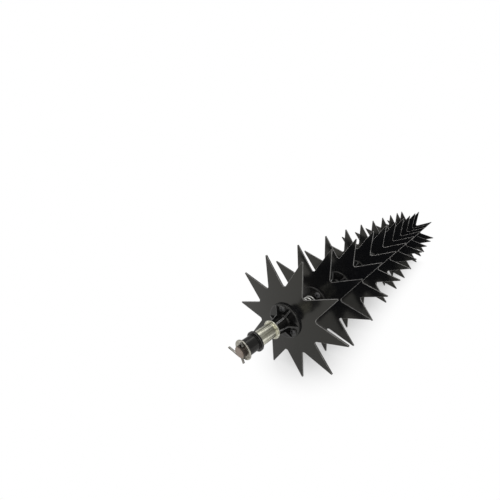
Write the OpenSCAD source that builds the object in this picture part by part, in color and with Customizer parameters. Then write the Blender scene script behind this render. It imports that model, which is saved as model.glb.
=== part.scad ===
// Spiked aerator roller: star wheels that turn on one axle, with bushes at its ends for a towed carrier.
// X runs along the axle, Z is up, and the roller stands on two rows of spikes at Z = 0.

/* [Roller] */
// Number of star wheels on the axle
star_count = 10; // [4:1:14]
// Distance between neighbouring star wheels
star_pitch = 117.7; // [100:0.1:150]
// Distance from an end star wheel to its neighbour, across the spring
end_pitch = 95.6; // [75:0.1:130]

/* [Star wheels] */
// Diameter of the circle through the spike tips
star_d = 254; // [200:1:320]
// Number of spikes on a star wheel
spike_count = 10; // [8:1:14]
// Diameter of the circle through the notch bottoms
root_d = 140; // [110:1:170]
// Radius at the bottom of a notch
notch_r = 5; // [1:0.5:8]
// Width of the blunt end of a spike
spike_tip_w = 2.4; // [1:0.1:5]
// Thickness of the plate
plate_t = 3; // [2:0.5:6]

/* [Hubs] */
// Diameter of the flange that clamps the plate
flange_d = 72; // [60:1:100]
// Thickness of the flange
flange_t = 5; // [3:0.5:8]
// Rounding of the flange's outer edge
flange_edge_r = 2; // [0.5:0.1:2.5]
// Length of a hub from the plate to the end of its boss
hub_len = 35.5; // [25:0.5:45]
// Wall of the boss at its end
boss_wall = 2.2; // [1:0.1:4]
// Growth of the boss radius from its end to the flange
boss_draft = 1; // [0.5:0.1:4]
// Radius of the fillet between boss and flange
boss_fillet_r = 3; // [1:0.5:5]
// Thickness of a rib
rib_t = 3; // [2:0.1:5]
// Height of a rib above the flange where it turns from the flange to the boss
rib_h = 8; // [5:0.5:16]
// How far a rib stands out from the boss at that turn
rib_foot_w = 4; // [2:0.1:8]
// How far a rib stands out from the boss near the boss's end
rib_top_w = 2.2; // [1:0.1:5]
// Distance from a rib to the end of the boss
rib_top_inset = 1; // [0.5:0.5:6]
// Height of a rib at its outer end
rib_end_h = 1.5; // [0.5:0.5:4]
// Distance from a rib's outer end to the flange edge
rib_inset = 2.5; // [2.5:0.5:6]
// Wall of the pilot ring that centres the plate
pilot_wall = 6; // [3:0.5:9]
// Gap between the pilot ring and the plate's hole
pilot_gap = 0.1; // [0.05:0.05:0.3]

/* [Hub bolts] */
// Number of bolts through a star wheel
bolt_count = 3; // [2:1:4]
// Diameter of the bolt shank
bolt_d = 6; // [4:0.5:8]
// Gap between a bolt and its hole
bolt_gap = 0.2; // [0.1:0.05:0.4]
// Distance from the bolt centres to the flange edge
bolt_inset = 8.5; // [7:0.5:12]
// Diameter of the raised pad under a bolt head or nut
pad_d = 12.5; // [11.5:0.5:15]
// Height of the raised pad
pad_h = 3; // [1:0.5:5]
// Diameter of the bolt head
head_d = 10.5; // [9:0.5:12]
// Height of the bolt head
head_h = 3.3; // [2.5:0.1:5]
// Width across the flats of the socket in the head
socket_w = 4; // [3:0.5:5]
// Depth of the socket
socket_depth = 1.8; // [1:0.1:2.2]
// Width across the flats of a nut
nut_w = 10; // [9.5:0.5:11.5]
// Thickness of a nut
nut_t = 5; // [3:0.5:7]
// Length of thread beyond a nut
thread_end = 2; // [1:0.5:4]
// Gap between a nut and its bolt
thread_gap = 0.05; // [0.02:0.01:0.1]

/* [Axle] */
// Diameter of the axle
axle_d = 20; // [16:0.5:24]
// Chamfer at each end of the axle
axle_chamfer = 1; // [0.5:0.1:2]
// Gap between the axle and a bore that turns on it
run_gap = 0.06; // [0.02:0.01:0.1]
// Gap between the axle and a bore that stays still on it
slip_gap = 0.05; // [0.02:0.01:0.1]
// Gap between the ends of pieces that turn past each other
end_play = 0.3; // [0.2:0.05:0.6]
// Wall of a spacer tube
spacer_wall = 2.5; // [1:0.1:4]

/* [Springs] */
// Diameter of the spring wire
wire_d = 3.2; // [2:0.1:4]
// Distance between neighbouring coils
coil_pitch = 9.5; // [8:0.5:14]
// Gap between the wire and the spigot inside the spring
spring_gap = 0.45; // [0.35:0.05:1]
// Wall of the spigot that centres the spring
spigot_wall = 1.6; // [1:0.1:3]
// Height of the spigot above its flange
spigot_h = 8; // [4:0.5:14]

/* [End sleeves] */
// Length of an end sleeve
sleeve_len = 39.4; // [20:0.1:60]
// Wall of an end sleeve
sleeve_wall = 3.75; // [2:0.05:6]
// Width of the sleeve's rim beyond its tube
sleeve_rim_w = 4.4; // [2:0.1:8]
// Thickness of the sleeve's rim
sleeve_rim_t = 2.6; // [1.5:0.1:5]
// Chamfer on the sleeve's edges
sleeve_chamfer = 0.5; // [0.2:0.1:0.7]

/* [Bushes] */
// Length of the seat between the bush's rim and the washer
seat_len = 22.2; // [12:0.1:40]
// Wall of the bush
bush_wall = 4.1; // [2.5:0.1:6]
// Width of the bush's rim beyond its seat
bush_rim_w = 4.1; // [2:0.1:8]
// Thickness of the bush's rim
bush_rim_t = 4; // [2:0.1:7]
// Chamfer on the bush's edges
bush_chamfer = 0.6; // [0.3:0.1:0.9]

/* [Washers and cotter pins] */
// Thickness of an end washer
washer_t = 2.5; // [1.5:0.1:4]
// Width of the washer's band, from its hole to its edge
washer_band = 7.4; // [4:0.1:12]
// Gap between a washer's hole and the axle
washer_gap = 0.3; // [0.1:0.05:0.6]
// Diameter of a cotter pin
cotter_d = 4; // [2.5:0.1:5]
// Gap between a cotter pin and its hole
cotter_gap = 0.15; // [0.1:0.05:0.3]
// Gap between the washer and the cotter pin's hole
cotter_seat = 0.2; // [0.1:0.05:0.6]
// Length of axle beyond the cotter pin's hole
cotter_edge = 2.7; // [1.5:0.1:6]
// Inside diameter of the cotter pin's eye
eye_d = 5; // [3:0.5:8]
// Turn of the cotter pins about the axle, from upright
cotter_turn = -12; // [-180:1:180]
// Bend of the long leg
long_leg_bend = 88; // [20:1:95]
// Straight length of the long leg
long_leg = 26; // [8:1:36]
// Bend of the short leg
short_leg_bend = 27; // [5:1:60]
// Straight length of the short leg
short_leg = 11.5; // [4:0.5:18]
// Radius of the bends in the legs
leg_bend_r = 4.5; // [4:0.5:8]
// Gap between the two legs inside the axle
leg_split = 0.5; // [0.4:0.1:1]

/* [Hidden] */
$fn = 64;
axle_r = axle_d / 2;
turn_r = axle_r + run_gap;
fixed_r = axle_r + slip_gap;

// Star wheels stand on two spikes, so a notch points straight down
star_r = star_d / 2;
spike_angle = 360 / spike_count;
tip_angle = asin(spike_tip_w / star_d);
axle_z = star_r * cos(spike_angle / 2 - tip_angle);
end_x = ((star_count - 3) * star_pitch + 2 * end_pitch) / 2;

flange_r = flange_d / 2;
bolt_r = flange_r - bolt_inset;
bolt_angle = 360 / bolt_count;
boss_r = turn_r + boss_wall;
pilot_r = turn_r + pilot_wall;
pilot_h = plate_t / 2 - pilot_gap;
clamp_half = plate_t / 2 + flange_t + pad_h;
hub_end = plate_t / 2 + hub_len;
spacer_len = star_pitch - 2 * (hub_end + end_play);

// The wire's chords come closer to the spigot than its points do
rings_per_coil = 8;
wire_sides = 6;
spigot_r = turn_r + spigot_wall;
coil_r = (spigot_r + spring_gap + wire_d / 2) / cos(180 / rings_per_coil);
spring_len = end_pitch - plate_t - 2 * (flange_t + end_play);
lead_angle = 20;
lead_rise = wire_d * 0.55;
coils = round((spring_len - 2 * (wire_d + lead_rise)) / coil_pitch);

// Places along the axle, outward from an end star wheel
sleeve_at = hub_end + end_play;
bush_at = sleeve_at + sleeve_len + end_play;
washer_at = bush_at + bush_rim_t + seat_len + end_play;
cotter_hole_r = cotter_d / 2 + cotter_gap;
cotter_at = washer_at + washer_t + cotter_seat + cotter_hole_r;
axle_end = cotter_at + cotter_hole_r + cotter_edge;

function star_x(k) = k == 1 ? -end_x : k == star_count ? end_x : -end_x + end_pitch + (k - 2) * star_pitch;
// Each star wheel stands one spike further round than the last
function star_turn(k) = (k - 1) * spike_angle;
function seats_spring(k, side) =
    side < 0 ? k == 2 || k == star_count : k == 1 || k == star_count - 1;

function label(name, k) = str(name, k < 10 ? "0" : "", k);
function labels(name, last) = [for (k = [1:last]) label(name, k)];

function arc(centre, r, from, to, steps = 6) =
    [for (i = [0:steps]) let (a = from + (to - from) * i / steps) centre + r * [cos(a), sin(a)]];

// On the axle, local z runs along +X and local x points down
module on_axle(x) {
    translate([x, 0, axle_z]) rotate([0, 90, 0]) children();
}

// At an end of the axle, local z points outward from the end star wheel and local x points up
module at_end(side) {
    translate([side * end_x, 0, axle_z])
        mirror([side > 0 ? 1 : 0, 0, 0])
            rotate([0, -90, 0]) children();
}

module on_star(k) {
    on_axle(star_x(k)) rotate(star_turn(k)) children();
}

module at_bolts() {
    for (i = [0:bolt_count - 1])
        rotate(180 + i * bolt_angle) translate([bolt_r, 0, 0]) children();
}

module tube(outer, inner, length) {
    difference() {
        cylinder(r = outer, h = length);
        translate([0, 0, -1]) cylinder(r = inner, h = length + 2);
    }
}

// Tube with a rim at z = 0 and chamfered outer edges
module rimmed_tube(outer, inner, length, rim_w, rim_t, chamfer) {
    rim_r = outer + rim_w;
    difference() {
        rotate_extrude() polygon([
            [0, 0],
            [rim_r - chamfer, 0],
            [rim_r, chamfer],
            [rim_r, rim_t - chamfer],
            [rim_r - chamfer, rim_t],
            [outer, rim_t],
            [outer, length - chamfer],
            [outer - chamfer, length],
            [0, length]
        ]);
        translate([0, 0, -1]) cylinder(r = inner, h = length + 2);
    }
}

// One V notch with a round bottom, its straight flanks running out to the corners of two spike tips
function notch_points() = let (
    centre = [root_d / 2 + notch_r, 0],
    half = spike_angle / 2 - tip_angle,
    corner = star_r * [cos(half), sin(half)],
    reach = corner - centre,
    touch = atan2(reach.y, reach.x) + acos(notch_r / norm(reach))
) concat([[corner.x, -corner.y]], arc(centre, notch_r, 360 - touch, touch, 8), [corner]);
function turned(p, a) = [p.x * cos(a) - p.y * sin(a), p.x * sin(a) + p.y * cos(a)];

module star_plate() {
    linear_extrude(height = plate_t, center = true) difference() {
        polygon([for (i = [0:spike_count - 1], p = notch_points()) turned(p, i * spike_angle)]);
        circle(r = pilot_r + pilot_gap);
        at_bolts() circle(d = bolt_d + 2 * bolt_gap);
    }
}

// Flange, pilot ring and bore that every hub has, from the plate's face outward
module hub_base(profile_end) {
    difference() {
        union() {
            rotate_extrude() polygon(concat(
                [[0, -pilot_h], [pilot_r, -pilot_h], [pilot_r, 0], [flange_r, 0]],
                arc([flange_r - flange_edge_r, flange_t - flange_edge_r], flange_edge_r, 0, 90),
                profile_end
            ));
            at_bolts() cylinder(d = pad_d, h = flange_t + pad_h);
            children();
        }
        translate([0, 0, -plate_t]) cylinder(r = turn_r, h = hub_len + 2 * plate_t);
        at_bolts() translate([0, 0, -plate_t])
            cylinder(d = bolt_d + 2 * bolt_gap, h = clamp_half + 2 * plate_t);
    }
}

// A rib runs along the boss as a low fin and spreads into a gusset on the flange
module rib() {
    root_r = boss_r - boss_wall / 2;
    top = hub_len - rib_top_inset;
    rotate([90, 0, 0]) linear_extrude(height = rib_t, center = true) polygon([
        [root_r, flange_t / 2],
        [flange_r - rib_inset, flange_t / 2],
        [flange_r - rib_inset, flange_t + rib_end_h],
        [boss_r + boss_draft + rib_foot_w, flange_t + rib_h],
        [boss_r + rib_top_w, top],
        [root_r, top]
    ]);
}

module boss_hub() {
    foot_r = boss_r + boss_draft;
    end_round = boss_wall / 2;
    hub_base(concat(
        arc([foot_r + boss_fillet_r, flange_t + boss_fillet_r], boss_fillet_r, 270, 180),
        arc([boss_r - end_round, hub_len - end_round], end_round, 0, 90),
        [[0, hub_len]]
    ))
        for (i = [0:2 * bolt_count - 1]) rotate(180 + (i + 0.5) * bolt_angle / 2) rib();
}

module spring_hub() {
    top = flange_t + spigot_h;
    end_round = spigot_wall / 2;
    hub_base(concat(
        [[spigot_r, flange_t]],
        arc([spigot_r - end_round, top - end_round], end_round, 0, 90),
        [[0, top]]
    ));
}

module hub(k, side) {
    color("#161616") on_star(k) mirror([0, 0, side < 0 ? 1 : 0]) translate([0, 0, plate_t / 2]) {
        if (seats_spring(k, side)) spring_hub();
        else boss_hub();
    }
}

// Domed socket-head bolt along +z, its head under the pad's face at z = 0
module bolt() {
    dome_r = (head_d * head_d / 4 + head_h * head_h) / (2 * head_h);
    difference() {
        union() {
            intersection() {
                translate([0, 0, dome_r - head_h]) sphere(r = dome_r);
                translate([0, 0, -head_h]) cylinder(d = head_d + 1, h = head_h);
            }
            cylinder(d = bolt_d, h = 2 * clamp_half + nut_t + thread_end);
        }
        translate([0, 0, -head_h - 1])
            cylinder(d = socket_w / cos(30), h = socket_depth + 1, $fn = 6);
    }
}

module nut() {
    difference() {
        cylinder(d = nut_w / cos(30), h = nut_t, $fn = 6);
        translate([0, 0, -1]) cylinder(r = bolt_d / 2 + thread_gap, h = nut_t + 2);
    }
}

// One tube swept along a coil; each end runs straight along the axle where it meets a hub
function coil_path() = let (
    low = wire_d + lead_rise,
    rise = (spring_len - 2 * low) / (coils * rings_per_coil),
    turn = 360 / rings_per_coil,
    last = lead_angle * 2 + coils * 360
) concat(
    [[0, 0], [0, wire_d]],
    [for (i = [0:coils * rings_per_coil]) [lead_angle + i * turn, low + i * rise]],
    [[last, spring_len - wire_d], [last, spring_len]]
);
function coil_point(p) = [coil_r * cos(p[0]), coil_r * sin(p[0]), p[1]];
function unit(v) = v / norm(v);

// Closes a row of equal rings into one solid
module skin(rings) {
    count = len(rings[0]);
    last = len(rings) - 1;
    sides = [for (i = [0:last - 1], j = [0:count - 1]) let (
        a = i * count + j,
        b = i * count + (j + 1) % count
    ) each [[a, a + count, b + count], [a, b + count, b]]];
    first_cap = [for (j = [1:count - 2]) [0, j, j + 1]];
    end_at = last * count;
    last_cap = [for (j = [1:count - 2]) [end_at, end_at + j + 1, end_at + j]];
    polyhedron(points = [for (r = rings) each r], faces = concat(sides, first_cap, last_cap));
}

module coil_tube(path) {
    line = [for (p = path) coil_point(p)];
    last = len(line) - 1;
    skin([for (i = [0:last]) let (
        ahead = i == 0 || i == last ? [0, 0, 1] : unit(unit(line[i + 1] - line[i]) + unit(line[i] - line[i - 1])),
        out = [cos(path[i][0]), sin(path[i][0]), 0],
        side = cross(ahead, out)
    ) [for (j = [0:wire_sides - 1]) let (a = j * 360 / wire_sides)
        line[i] + wire_d / 2 * (cos(a) * out + sin(a) * side)]]);
}

// Least clear distance between neighbouring coils, measured from point to point
module print_coil_gap(path) {
    line = [for (p = path) coil_point(p)];
    far = rings_per_coil - 1;
    gaps = [for (i = [0:len(line) - 1], j = [i + far:1:len(line) - 1]) norm(line[i] - line[j]) - wire_d];
    echo(least_coil_gap_mm = min(gaps));
}

// One half-round wire folded into a pin: up the long leg, round the eye and down the short leg
function leg_end(bend, length) = leg_bend_r * [-sin(bend), 1 - cos(bend)] + length * [-cos(bend), sin(bend)];
function pin_path() = let (
    flat = leg_split / 2,
    out = axle_r + cotter_gap,
    long_end = [-out, flat] + leg_end(long_leg_bend, long_leg),
    short_end = leg_end(short_leg_bend, short_leg),
    neck = 35
) concat(
    [long_end],
    arc([-out, flat + leg_bend_r], leg_bend_r, 270 - long_leg_bend, 270),
    [[out, flat]],
    arc([out + eye_d * 0.7, 0], eye_d / 2, 180 - neck, neck - 180, 16),
    [[out, -flat]],
    arc([-out, -flat - leg_bend_r], leg_bend_r, 90, 90 + short_leg_bend),
    [[short_end.x - out, -flat - short_end.y]]
);

module folded_pin() {
    path = pin_path();
    last = len(path) - 1;
    thick = (cotter_d - leg_split) / 2;
    skin([for (i = [0:last]) let (
        before = unit(path[max(i, 1)] - path[max(i, 1) - 1]),
        after = unit(path[min(i, last - 1) + 1] - path[min(i, last - 1)]),
        ahead = unit(before + after),
        round_side = [-ahead.y, ahead.x] / (ahead * after)
    ) [for (a = [-90:30:90]) let (p = path[i] + round_side * thick * cos(a)) [p.x, p.y, cotter_d / 2 * sin(a)]]]);
}

module star_wheel(k) {
    color("#2b2a28") on_star(k) star_plate();
}

module hub_bolts(k) {
    color("#8d8d88") on_star(k) at_bolts() {
        translate([0, 0, -clamp_half]) bolt();
        translate([0, 0, clamp_half]) nut();
    }
}

module axle_shaft() {
    half = end_x + axle_end;
    color("#3a3735") difference() {
        on_axle(0) rotate_extrude() polygon([
            [0, -half],
            [axle_r - axle_chamfer, -half],
            [axle_r, axle_chamfer - half],
            [axle_r, half - axle_chamfer],
            [axle_r - axle_chamfer, half],
            [0, half]
        ]);
        for (side = [-1, 1]) at_end(side) translate([0, 0, cotter_at]) rotate(cotter_turn)
            rotate([0, 90, 0]) cylinder(r = cotter_hole_r, h = 2 * axle_d, center = true);
    }
}

module spacer_tube(k) {
    color("#1c1c1c") on_axle(star_x(k + 1) + hub_end + end_play)
        tube(fixed_r + spacer_wall, fixed_r, spacer_len);
}

module spring(k) {
    path = coil_path();
    print_coil_gap(path);
    color("#b9b8a6") on_axle(star_x(k) + plate_t / 2 + flange_t + end_play) coil_tube(path);
}

module sleeve(side) {
    color("#c3c2ad") at_end(side) translate([0, 0, sleeve_at])
        rimmed_tube(fixed_r + sleeve_wall, fixed_r, sleeve_len, sleeve_rim_w, sleeve_rim_t, sleeve_chamfer);
}

module bush(side) {
    color("#141414") at_end(side) translate([0, 0, bush_at])
        rimmed_tube(turn_r + bush_wall, turn_r, bush_rim_t + seat_len, bush_rim_w, bush_rim_t, bush_chamfer);
}

module washer(side) {
    hole_r = axle_r + washer_gap;
    color("#8f8d84") at_end(side) translate([0, 0, washer_at])
        tube(hole_r + washer_band, hole_r, washer_t);
}

module cotter_pin(side) {
    color("#9a988e") at_end(side) translate([0, 0, cotter_at]) rotate(cotter_turn) folded_pin();
}

axle_shaft();
for (k = [1:star_count]) {
    star_wheel(k);
    hub(k, -1);
    hub(k, 1);
    hub_bolts(k);
}
for (k = [1:star_count - 3])
    spacer_tube(k);
spring(1);  // left_spring
spring(star_count - 1);  // right_spring
sleeve(-1);  // left_sleeve
sleeve(1);  // right_sleeve
bush(-1);  // left_bush
bush(1);  // right_bush
washer(-1);  // left_washer
washer(1);  // right_washer
cotter_pin(-1);  // left_cotter_pin
cotter_pin(1);  // right_cotter_pin
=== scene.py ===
import math

import bmesh
import bpy
from mathutils import Matrix, Vector


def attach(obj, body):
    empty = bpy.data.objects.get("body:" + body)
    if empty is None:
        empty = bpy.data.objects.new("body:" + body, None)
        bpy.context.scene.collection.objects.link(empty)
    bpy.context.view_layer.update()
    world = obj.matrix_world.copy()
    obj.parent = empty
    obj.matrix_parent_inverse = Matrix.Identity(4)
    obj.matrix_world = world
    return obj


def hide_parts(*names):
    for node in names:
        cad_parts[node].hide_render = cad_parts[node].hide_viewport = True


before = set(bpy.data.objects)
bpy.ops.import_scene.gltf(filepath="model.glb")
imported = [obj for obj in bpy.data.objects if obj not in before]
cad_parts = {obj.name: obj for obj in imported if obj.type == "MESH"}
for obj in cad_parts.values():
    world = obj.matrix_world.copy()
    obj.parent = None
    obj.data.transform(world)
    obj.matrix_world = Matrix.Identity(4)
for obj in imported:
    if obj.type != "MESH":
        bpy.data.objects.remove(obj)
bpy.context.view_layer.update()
scene = bpy.context.scene
scene.view_settings.view_transform = "Standard"

# Pieces are drawn in millimetres round the axle, with x along it, then scaled and set in place
roller = {
    "stars": 10,
    "starPitch": 117.7,
    "endPitch": 95.6,
    "tipCircle": 127.0,
    "spikes": 10,
    "tipWidth": 2.4,
    "axleR": 10.0,
    "runGap": 0.06,
    "slipGap": 0.05,
    "endPlay": 0.3,
}
spikeAngle = 2 * math.pi / roller["spikes"]
tipAngle = math.asin(roller["tipWidth"] / 2 / roller["tipCircle"])
axleZ = roller["tipCircle"] * math.cos(spikeAngle / 2 - tipAngle)
endX = ((roller["stars"] - 3) * roller["starPitch"] + 2 * roller["endPitch"]) / 2
turnR = roller["axleR"] + roller["runGap"]
fixedR = roller["axleR"] + roller["slipGap"]
starNumbers = range(1, roller["stars"] + 1)
endSides = (("left", -1), ("right", 1))
perMetre = 1000


def starX(k):
    if k in (1, roller["stars"]):
        return -endX if k == 1 else endX
    return -endX + roller["endPitch"] + (k - 2) * roller["starPitch"]


def starTurn(k):
    return (k - 1) * spikeAngle


def setPlace(x, turn=0.0, flip=1):
    side = Matrix.Diagonal((flip, 1, 1, 1))
    spot = Matrix.Translation((x, 0, axleZ)) @ Matrix.Rotation(turn, 4, "X")
    return Matrix.Scale(1 / perMetre, 4) @ spot @ side


def arc(cx, cy, r, start, end, steps):
    angles = [math.radians(start + (end - start) * i / steps) for i in range(steps + 1)]
    return [(cx + r * math.cos(a), cy + r * math.sin(a)) for a in angles]


def circle(cx, cy, r, sides):
    return arc(cx, cy, r, 0, 360 - 360 / sides, sides - 1)


# Joins rings of points into walls; a closed row of rings is a ring-shaped solid
def loft(bm, rings, closed=False, capEnds=False):
    rows = [[bm.verts.new(p) for p in ring] for ring in rings]
    nextRows = rows[1:] + rows[:1] if closed else rows[1:]
    n = len(rows[0])
    for a, b in zip(rows, nextRows):
        for i in range(n):
            bm.faces.new((a[i], a[(i + 1) % n], b[(i + 1) % n], b[i]))
    if capEnds:
        bm.faces.new(rows[0])
        bm.faces.new(rows[-1])


def roundRing(x, r, count, dist=0.0):
    turns = [2 * math.pi * i / count for i in range(count)]
    return [(x, r * math.sin(a), -dist - r * math.cos(a)) for a in turns]


meshing = {
    "longWall": 1.0,
    "step": 0.25,
    "mergeGap": 0.001,
    "narrow": 0.4,
    "proudTurn": 0.01,
    "sideOn": 0.01,
}


# Long walls get a short step at both ends, so that the shading of a round edge stays at the edge
def withSteps(profile):
    points, step = [], meshing["step"]
    for a, b in zip(profile, profile[1:] + profile[:1]):
        points.append(a)
        length = math.dist(a, b)
        if length > meshing["longWall"]:
            points += [tuple(Vector(a).lerp(Vector(b), t / length)) for t in (step, length - step)]
    return points


def lathe(bm, profile, steps, dist=0.0):
    loft(bm, [roundRing(x, r, steps, dist) for x, r in withSteps(profile)], closed=True)


# Rounded edges are made of narrow faces, and those that stand proud carry a pale edge line, part rubbed
# wear and part painted highlight
def toMesh(bm, name, sharp, narrow=meshing["narrow"], wearAndGlint=1.0):
    bmesh.ops.remove_doubles(bm, verts=bm.verts, dist=meshing["mergeGap"])
    bmesh.ops.recalc_face_normals(bm, faces=bm.faces)
    layer = bm.faces.layers.float.new("edge")
    for face in bm.faces:
        slim = min(e.calc_length() for e in face.edges) < narrow
        proud = sum(e.calc_face_angle_signed(0) for e in face.edges) > meshing["proudTurn"]
        face[layer] = wearAndGlint if slim and proud else 0.0
    mesh = bpy.data.meshes.new(name)
    bm.to_mesh(mesh)
    bm.free()
    mesh.polygons.foreach_set("use_smooth", [True] * len(mesh.polygons))
    mesh.set_sharp_from_angle(angle=math.radians(sharp))
    return mesh


def addObject(name, mesh):
    obj = bpy.data.objects.new(name, mesh)
    scene.collection.objects.link(obj)
    return obj


def evaluated(obj):
    bpy.context.view_layer.update()
    return bpy.data.meshes.new_from_object(obj.evaluated_get(bpy.context.evaluated_depsgraph_get()))


# Puts a copy of a finished mesh on its body in place of the plain solid
def settle(name, source, place, body, node):
    mesh = source.copy()
    mesh.name = name
    mesh.transform(place)
    if place.determinant() < 0:
        mesh.flip_normals()
    obj = addObject(name, mesh)
    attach(obj, body)
    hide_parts(node)


def feed(tree, socket, value):
    if isinstance(value, bpy.types.NodeSocket):
        tree.links.new(value, socket)
    else:
        socket.default_value = value


def addNode(tree, kind, inputs=None, **settings):
    node = tree.nodes.new(kind)
    for key, value in settings.items():
        setattr(node, key, value)
    for key, value in (inputs or {}).items():
        feed(tree, node.inputs[key], value)
    return node


def calc(tree, operation, *values):
    return addNode(tree, "ShaderNodeMath", dict(enumerate(values)), operation=operation).outputs[0]


def remap(tree, value, low, high, toLow=0.0, toHigh=1.0, shape="LINEAR"):
    inputs = {0: value, 1: low, 2: high, 3: toLow, 4: toHigh}
    return addNode(tree, "ShaderNodeMapRange", inputs, interpolation_type=shape).outputs[0]


def blendColour(tree, mask, a, b):
    return addNode(tree, "ShaderNodeMix", {0: mask, 6: a, 7: b}, data_type="RGBA").outputs[2]


def objectPoint(tree):
    return addNode(tree, "ShaderNodeTexCoord").outputs["Object"]


def noise(tree, point, scale, detail=3.0, rough=0.55):
    inputs = {"Vector": point, "Scale": scale, "Detail": detail, "Roughness": rough}
    return addNode(tree, "ShaderNodeTexNoise", inputs).outputs["Fac"]


socketKinds = {
    "value": "NodeSocketFloat",
    "count": "NodeSocketInt",
    "colour": "NodeSocketColor",
    "vector": "NodeSocketVector",
    "object": "NodeSocketObject",
    "finish": "NodeSocketMaterial",
    "geometry": "NodeSocketGeometry",
}


def newGroup(name, kind, inputs, outputs):
    group = bpy.data.node_groups.new(name, kind)
    for labels, way in ((inputs, "INPUT"), (outputs, "OUTPUT")):
        for label, socketKind in labels.items():
            group.interface.new_socket(label, in_out=way, socket_type=socketKinds[socketKind])
    return group, group.nodes.new("NodeGroupInput").outputs, group.nodes.new("NodeGroupOutput").inputs


# Fine skin of a coat or moulding: cloudy gloss and a shallow grain
skin = {"cloudDetail": 4, "clouds": (0.3, 0.7), "grainDetail": 2}
grainGroup, given, result = newGroup(
    "skinGrain",
    "ShaderNodeTree",
    {"Cloud scale": "value", "Grain scale": "value", "Gloss low": "value", "Gloss high": "value"},
    {"Rough": "value", "Height": "value"},
)
point = objectPoint(grainGroup)
cloud = noise(grainGroup, point, given["Cloud scale"], skin["cloudDetail"])
gloss = remap(grainGroup, cloud, *skin["clouds"], given["Gloss low"], given["Gloss high"])
feed(grainGroup, result["Rough"], gloss)
feed(grainGroup, result["Height"], noise(grainGroup, point, given["Grain scale"], skin["grainDetail"]))

# Paler line on rounded edges: part rubbed wear, part painted highlight where light would catch the edge
rubAndGlint = {"scale": 90.0, "detail": 4, "patches": (0.36, 0.6), "least": 0.5}
rubAndGlintGroup, given, result = newGroup(
    "edgeScuff",
    "ShaderNodeTree",
    {"Coat": "colour", "Bare": "colour", "Amount": "value", "Scale": "value"},
    {"Colour": "colour"},
)
edge = addNode(rubAndGlintGroup, "ShaderNodeAttribute", attribute_name="edge").outputs["Fac"]
spots = noise(rubAndGlintGroup, objectPoint(rubAndGlintGroup), given["Scale"], rubAndGlint["detail"])
patch = remap(rubAndGlintGroup, spots, *rubAndGlint["patches"], rubAndGlint["least"])
rubAndGlintShare = calc(rubAndGlintGroup, "MULTIPLY", calc(rubAndGlintGroup, "MULTIPLY", edge, patch), given["Amount"])
feed(rubAndGlintGroup, result["Colour"], blendColour(rubAndGlintGroup, rubAndGlintShare, given["Coat"], given["Bare"]))

# Faint dust that lies on what faces up
dust = {
    "colour": (0.35, 0.32, 0.28, 1),
    "scale": 35.0,
    "detail": 6,
    "rough": 0.7,
    "specks": (0.45, 0.75),
    "facing": (-0.2, 1.0),
}
dustGroup, given, result = newGroup(
    "dustFilm",
    "ShaderNodeTree",
    {"Colour": "colour", "Dust": "colour", "Amount": "value", "Scale": "value"},
    {"Colour": "colour"},
)
normal = addNode(dustGroup, "ShaderNodeTexCoord").outputs["Normal"]
upward = addNode(dustGroup, "ShaderNodeSeparateXYZ", {0: normal}).outputs["Z"]
facing = remap(dustGroup, upward, *dust["facing"])
grit = noise(dustGroup, objectPoint(dustGroup), given["Scale"], dust["detail"], dust["rough"])
specks = remap(dustGroup, grit, *dust["specks"])
covered = calc(dustGroup, "MULTIPLY", calc(dustGroup, "MULTIPLY", facing, specks), given["Amount"])
feed(dustGroup, result["Colour"], blendColour(dustGroup, covered, given["Colour"], given["Dust"]))

# Plated or bare steel: streaks that run with the stretch, and stained patches
plating = {"detail": 4, "rough": 0.6, "tones": (0.38, 0.62), "clouds": (0.3, 0.7), "stains": (0.42, 0.68)}
metalGroup, given, result = newGroup(
    "streakedMetal",
    "ShaderNodeTree",
    {
        "Dark": "colour",
        "Light": "colour",
        "Stretch": "vector",
        "Stain": "colour",
        "Stain amount": "value",
        "Stain scale": "value",
        "Gloss low": "value",
        "Gloss high": "value",
    },
    {"Colour": "colour", "Rough": "value", "Height": "value"},
)
coords = objectPoint(metalGroup)
drawn = addNode(metalGroup, "ShaderNodeMapping", {"Vector": coords, "Scale": given["Stretch"]}).outputs[0]
streak = noise(metalGroup, drawn, 1.0, plating["detail"], plating["rough"])
tone = blendColour(metalGroup, remap(metalGroup, streak, *plating["tones"]), given["Dark"], given["Light"])
patches = noise(metalGroup, coords, given["Stain scale"], plating["detail"])
blotch = remap(metalGroup, patches, *plating["stains"])
stained = calc(metalGroup, "MULTIPLY", blotch, given["Stain amount"])
feed(metalGroup, result["Colour"], blendColour(metalGroup, stained, tone, given["Stain"]))
gloss = remap(metalGroup, streak, *plating["clouds"], given["Gloss low"], given["Gloss high"])
feed(metalGroup, result["Rough"], gloss)
feed(metalGroup, result["Height"], streak)


def newMaterial(name):
    mat = bpy.data.materials.new(name)
    mat.use_nodes = True
    return mat, mat.node_tree, mat.node_tree.nodes["Principled BSDF"].inputs


def useGroup(tree, group, inputs):
    return addNode(tree, "ShaderNodeGroup", inputs, node_tree=group).outputs


def setBump(tree, surface, height, strength, distance):
    bump = addNode(tree, "ShaderNodeBump", {"Height": height, "Strength": strength, "Distance": distance})
    feed(tree, surface["Normal"], bump.outputs[0])


# A base colour with its pale edge lines, part rubbed wear and part painted highlight, and its dust
def edgeLinedDustyColour(tree, colour, look):
    edgeLineInputs = {"Coat": colour, "Bare": look["bareOrGlint"], "Amount": look["wearAndGlint"], "Scale": rubAndGlint["scale"]}
    edgeLinedTone = useGroup(tree, rubAndGlintGroup, edgeLineInputs)["Colour"]
    film = {"Colour": edgeLinedTone, "Dust": dust["colour"], "Amount": look["dust"], "Scale": dust["scale"]}
    return useGroup(tree, dustGroup, film)["Colour"]


relief = {"coat": 0.0002, "metal": 0.0001}


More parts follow.
